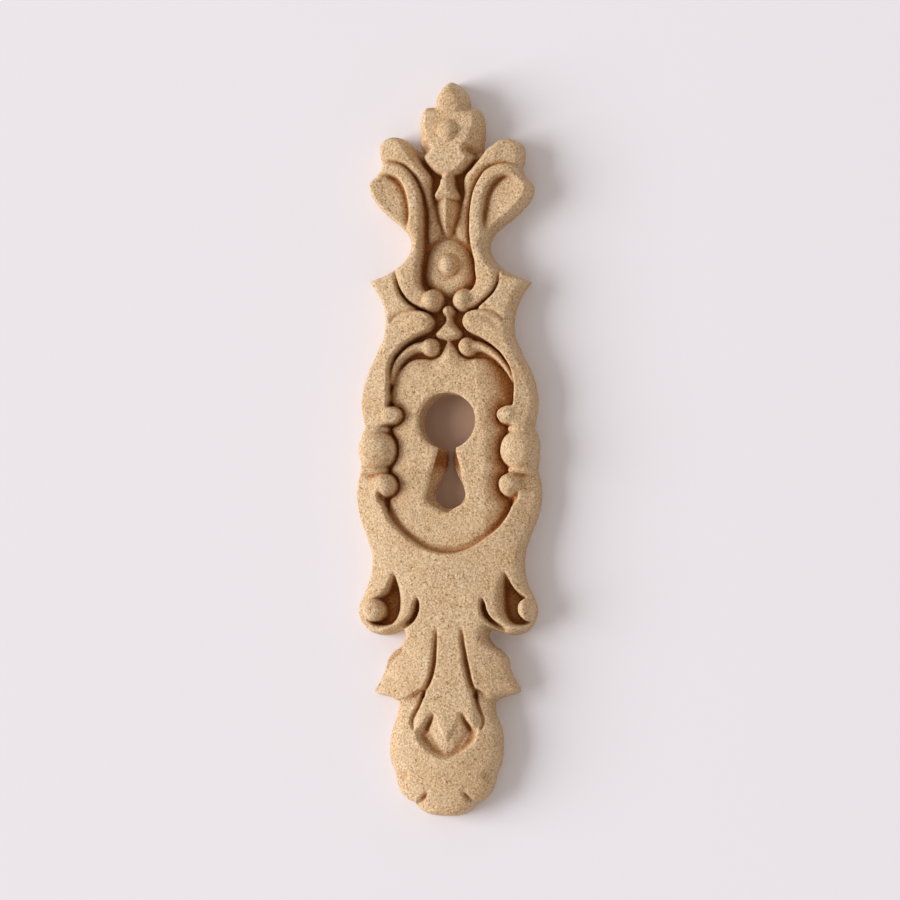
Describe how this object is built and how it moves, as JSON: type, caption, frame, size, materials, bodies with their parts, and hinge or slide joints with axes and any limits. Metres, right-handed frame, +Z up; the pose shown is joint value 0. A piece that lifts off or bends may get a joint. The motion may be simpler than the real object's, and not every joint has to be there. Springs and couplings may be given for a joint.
{
  "type": "keyhole escutcheon",
  "caption": "Long carved-look wooden keyhole escutcheon, scrolled outline, flat back, keyhole through a plain cushioned panel, leaf fan above and shell below.",
  "frame": {"origin": "on the flat back, on the centre line, 23.5 mm below the centre of the keyhole's round", "axes": "+Z up the length, +X to the right as seen from the front, the relief faces -Y and the flat back faces +Y"},
  "size_m": [0.0302, 0.0066, 0.1201],
  "materials": {
    "moulded_wood": "bare pressed wood flour, matt, fine speckle"
  },
  "bodies": {
    "root": {"escutcheon": "moulded_wood"}
  },
  "joints": []
}
